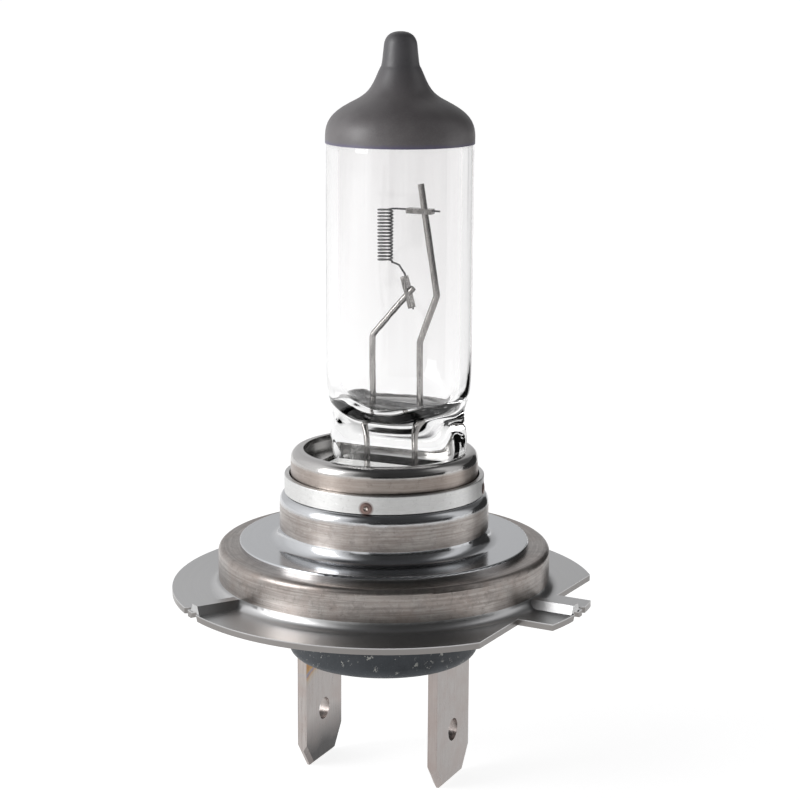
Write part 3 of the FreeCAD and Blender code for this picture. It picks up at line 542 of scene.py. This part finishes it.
def smooth_key(keys, level):
    """Values at a level, on a smooth curve through the rows of a table (level, values...)."""
    if level <= keys[0][0]:
        return keys[0][1:]
    for number, (low, high) in enumerate(zip(keys, keys[1:])):
        if level > high[0]:
            continue
        before, after = keys[max(number - 1, 0)], keys[min(number + 2, len(keys) - 1)]
        gap = high[0] - low[0]
        share = (level - low[0]) / gap
        values = []
        for start, end, earlier, later in zip(low[1:], high[1:], before[1:], after[1:]):
            rise_low = (end - earlier) / (high[0] - before[0]) * gap
            rise_high = (later - start) / (after[0] - low[0]) * gap
            values.append(start + share * rise_low
                          + share ** 2 * (3 * (end - start) - 2 * rise_low - rise_high)
                          + share ** 3 * (2 * (start - end) + rise_low + rise_high))
        return tuple(values)
    return keys[-1][1:]


RING_POINTS = 160
ROUND = 2.0  # squareness of an ellipse


def section(level, half_width, half_depth, squareness=ROUND):
    """Points of a rounded section round the burner's axis."""
    ring = []
    for step in range(RING_POINTS):
        angle = 2 * math.pi * step / RING_POINTS
        cosine, sine = math.cos(angle), math.sin(angle)
        across = half_width * math.copysign(abs(cosine) ** (2 / squareness), cosine)
        along = half_depth * math.copysign(abs(sine) ** (2 / squareness), sine)
        ring.append(Vector(((BURNER + across) * MM, along * MM, level * MM)))
    return ring


def keyed_sections(keys, close_step, close_until, step):
    """Sections through a key table, closer to each other at its start."""
    rings = []
    level = keys[0][0]
    while level < keys[-1][0]:
        rings.append(section(level, *smooth_key(keys, level)))
        level += close_step if level < close_until else step
    return rings


def skin(mesh, rings, first_level, last_level, inward=False):
    """Quads between rings, closed by a point on the axis at each end."""
    rows = [[mesh.verts.new(point) for point in ring] for ring in rings]
    faces = []
    for low, high in zip(rows, rows[1:]):
        for step in range(RING_POINTS):
            after = (step + 1) % RING_POINTS
            faces.append(mesh.faces.new((low[step], low[after], high[after], high[step])))
    for level, row, turn in ((first_level, rows[0], True), (last_level, rows[-1], False)):
        hub = mesh.verts.new((BURNER * MM, 0, level * MM))
        for step in range(RING_POINTS):
            after = (step + 1) % RING_POINTS
            corner = (row[after], row[step]) if turn else (row[step], row[after])
            faces.append(mesh.faces.new((*corner, hub)))
    if inward:
        for face in faces:
            face.normal_flip()


def mesh_object(name, mesh, material):
    """Object of the scene made from a finished bmesh."""
    data = bpy.data.meshes.new(name)
    mesh.to_mesh(data)
    mesh.free()
    data.materials.append(material)
    thing = bpy.data.objects.new(name, data)
    scene.collection.objects.link(thing)
    return thing


# outer skin, from the pressed seal up to the tube: level, half width, half depth, squareness
PRESSED = [
    (5.2, 3.95, 1.85, 5.0), (5.6, 4.1, 2.1, 5.0), (7.8, 4.3, 2.15, 5.0),
    (8.7, 4.6, 2.15, 5.0), (9.5, 5.0, 2.15, 5.0), (10.3, 5.26, 2.17, 4.9),
    (11.1, 5.34, 2.3, 4.6), (11.9, 5.24, 2.65, 4.0), (12.7, 5.09, 3.3, 3.3),
    (13.5, 5.03, 4.15, 2.7), (14.4, 5.36, 4.95, 2.2), (15.3, 5.56, 5.4, 2.05),
    (16.3, 5.63, 5.6, 2.0), (17.2, TUBE_RADIUS, TUBE_RADIUS, ROUND)]
PRESSED_FOOT = 5.14
TUBE_LEVELS = (17.4, 20, 24, 28, 32, 34.2)
TIP_TOP = 42.3
# floor of the gas space: level, half width, half depth, squareness
HOLLOW = [
    (13.38, 1.4, 1.0, 2.0), (13.45, 2.3, 1.6, 2.0), (13.7, 3.2, 2.4, 2.1),
    (14.3, 4.05, 3.35, 2.1), (15.2, 4.5, 4.15, 2.0), (16.4, 4.66, 4.55, 2.0),
    (18.0, GAS_RADIUS, GAS_RADIUS, ROUND)]
HOLLOW_BOTTOM = 13.36
GAS_LEVELS = (18.2, 22, 28, 33.5)
# roof of the gas space: level, radius
ROOF = [
    (34.2, GAS_RADIUS), (35.0, 4.45), (35.6, 3.95), (36.1, 3.2), (36.5, 2.3), (36.8, 1.3),
    (36.88, 0.6)]
ROOF_TOP = 36.9
# closed end, under the coating
COATED_FROM = 34.8
COATED_STEP = 0.2
COATED_STEPS = 37
COATING_GAP = 0.03
LEAST_RADIUS = 0.15


def coated_sections():
    """Sections of the closed end, kept just inside the coating."""
    coating = nodes["glare_coating"]
    spots = [coating.matrix_world @ vertex.co for vertex in coating.data.vertices]
    rings = []
    for step in range(COATED_STEPS):
        level = COATED_FROM + COATED_STEP * step
        room = [math.hypot(spot.x - BURNER * MM, spot.y) / MM - COATING_GAP for spot in spots
                if abs(spot.z / MM - level) < COATED_STEP / 2]
        if room and min(room) > LEAST_RADIUS:
            rings.append(section(level, min(room), min(room)))
    return rings


def build_glass():
    """Envelope as one clear body: its outer skin and the gas space inside it."""
    mesh = bmesh.new()
    outside = keyed_sections(PRESSED, 0.1, 5.6, 0.2)
    outside += [section(level, TUBE_RADIUS, TUBE_RADIUS) for level in TUBE_LEVELS]
    outside += coated_sections()
    skin(mesh, outside, PRESSED_FOOT, TIP_TOP)
    hollow = keyed_sections(HOLLOW, 0.035, 13.8, 0.15)
    hollow += [section(level, GAS_RADIUS, GAS_RADIUS) for level in GAS_LEVELS]
    hollow += [section(level, radius, radius) for level, radius in ROOF]
    skin(mesh, hollow, HOLLOW_BOTTOM, ROOF_TOP, inward=True)
    thing = mesh_object("burner_glass", mesh, clear_glass())
    thing.data.shade_smooth()
    return thing


glass = build_glass()
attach(glass, "root")
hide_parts("glass_envelope")


# ---------------------------------------------------------------- floor and studio

def floor():
    """Plain pale floor at the blade tips."""
    bpy.ops.mesh.primitive_plane_add(size=12.0, location=(0, 0, FLOOR_LEVEL))
    plane = bpy.context.object
    plane.name = "studio_floor"
    plane.data.materials.append(Graph("pale_floor").finish(
        Base_Color=(0.42, 0.42, 0.42), Roughness=0.9, Emission_Color=(1.0, 1.0, 1.0),
        Emission_Strength=0.86, Specular_IOR_Level=0.0))


floor()

# brightness round the horizon, in degrees from the camera's side towards its right
HORIZON = [
    (0, 0.05), (42, 0.06), (60, 0.10), (74, 0.35), (88, 0.85), (102, 0.75), (114, 0.25),
    (126, 0.12), (148, 0.15), (162, 0.5), (180, 0.66), (212, 0.8), (236, 1.0), (262, 1.15),
    (290, 1.4), (306, 1.3), (316, 0.8), (327, 0.25), (338, 0.09), (360, 0.05)]
HORIZON_STRENGTH = 1.5
BLUE_LIFT = 1.01
OVERHEAD = (0.045, 0.045, 0.047)
# rises of a ray's direction over which the horizon gives way to the dark overhead, and over
# which a ray from the glass stops seeing the plain white surround
OVERHEAD_SPAN = (0.70, 0.93)
THROUGH_SPAN = (0.28, 0.75)


def studio():
    """Soft studio as a world: bright sides and back, dark behind the camera and overhead.

    The camera, and level rays that come out of the glass, see a plain white surround instead.
    """
    world = bpy.data.worlds.new("studio")
    scene.world = world
    world.use_nodes = True
    world.node_tree.nodes.clear()
    graph = Nodes(world.node_tree)
    direction = graph.add("ShaderNodeTexCoord").outputs["Generated"]
    turned = graph.add("ShaderNodeVectorRotate", {"Vector": direction, "Angle": -VIEW_TURN},
                       rotation_type="Z_AXIS").outputs[0]
    across, along, up = graph.axes(turned)
    angle = graph.math("ARCTAN2", across, graph.math("MULTIPLY", along, -1.0))
    turns = graph.math("ADD", graph.math("DIVIDE", angle, 2 * math.pi), 1.0)
    stops = []
    for degrees, grey in HORIZON:
        part = grey / HORIZON_STRENGTH
        stops.append((degrees / 360, (part, part, part * BLUE_LIFT)))
    sides = graph.ramp(graph.math("FRACT", turns), stops, "EASE")
    low = graph.level(up, 1.0, 0.0, *OVERHEAD_SPAN, interpolation_type="SMOOTHSTEP")
    lit = graph.add("ShaderNodeBackground", {
        "Color": graph.mix(low, OVERHEAD, sides), "Strength": HORIZON_STRENGTH})
    plain = graph.add("ShaderNodeBackground", {"Color": (1.0, 1.0, 1.0), "Strength": 1.0})
    path = graph.add("ShaderNodeLightPath")
    through = graph.math("MULTIPLY", path.outputs["Is Transmission Ray"],
                         graph.level(up, 1.0, 0.0, *THROUGH_SPAN))
    seen = graph.math("MAXIMUM", path.outputs["Is Camera Ray"], through)
    both = graph.add("ShaderNodeMixShader", {0: seen, 1: lit.outputs[0], 2: plain.outputs[0]})
    graph.add("ShaderNodeOutputWorld", {0: both.outputs[0]})


studio()


def beside(degrees, distance, height):
    """A point in metres; the degrees run from the camera's side towards its right."""
    angle = math.radians(degrees) + VIEW_TURN
    return Vector((math.sin(angle) * distance, -math.cos(angle) * distance, height))


def dark_card(name, first, last, distance, low, high):
    """Curved dark card that only reflections see, between two directions in degrees."""
    steps = 24
    mesh = bmesh.new()
    lower, upper = [
        [mesh.verts.new(beside(first + (last - first) * step / steps, distance, height))
         for step in range(steps + 1)] for height in (low, high)]
    for step in range(steps):
        mesh.faces.new((lower[step], lower[step + 1], upper[step + 1], upper[step]))
    card = mesh_object(name, mesh, Graph(name).finish(
        Base_Color=(0.03, 0.03, 0.03), Roughness=0.9, Specular_IOR_Level=0.0))
    card.visible_camera = False
    card.visible_diffuse = False
    card.visible_shadow = False
    card.visible_transmission = False


dark_card("card_right", 108, 150, 0.085, -0.0162, 0.030)
dark_card("card_front", -16, 76, 0.150, -0.0162, 0.035)


def soft_light(name, degrees, distance, height, wide, tall, power):
    """Area light aimed at the middle of the bulb."""
    lamp = bpy.data.lights.new(name, "AREA")
    lamp.shape = "RECTANGLE"
    lamp.size, lamp.size_y, lamp.energy = wide, tall, power
    thing = bpy.data.objects.new(name, lamp)
    thing.location = beside(degrees, distance, height)
    aim = Vector((0, 0, 0.012)) - thing.location
    thing.rotation_euler = aim.to_track_quat("-Z", "Y").to_euler()
    thing.visible_camera = False
    scene.collection.objects.link(thing)


soft_light("key_left", -70, 0.45, 0.16, 0.22, 0.30, 1.1)


# ---------------------------------------------------------------- camera

CAMERA_BACK = 0.16357
CAMERA_HEIGHT = 0.04845
FOCAL_LENGTH = 96.49
PITCH, YAW, ROLL = math.radians(11.87), math.radians(0.42), math.radians(0.34)


def camera():
    """Long lens at the viewing angle, looking down by the pitch."""
    lens = bpy.data.cameras.new("view")
    lens.sensor_width = 36.0
    lens.lens = FOCAL_LENGTH
    lens.clip_start, lens.clip_end = 0.005, 50.0
    forward = Vector((math.sin(YAW) * math.cos(PITCH), math.cos(YAW) * math.cos(PITCH),
                      -math.sin(PITCH)))
    side = forward.cross(Vector((0, 0, 1))).normalized()
    up = side.cross(forward)
    right = side * math.cos(ROLL) + up * math.sin(ROLL)
    top = up * math.cos(ROLL) - side * math.sin(ROLL)
    turn = Matrix.Rotation(VIEW_TURN, 3, "Z")
    axes = Matrix((turn @ right, turn @ top, turn @ -forward)).transposed()
    place = Matrix.Translation(turn @ Vector((0, -CAMERA_BACK, CAMERA_HEIGHT)))
    thing = bpy.data.objects.new("view", lens)
    thing.matrix_world = place @ axes.to_4x4()
    scene.collection.objects.link(thing)
    scene.camera = thing


camera()
scene.view_settings.view_transform = "Standard"
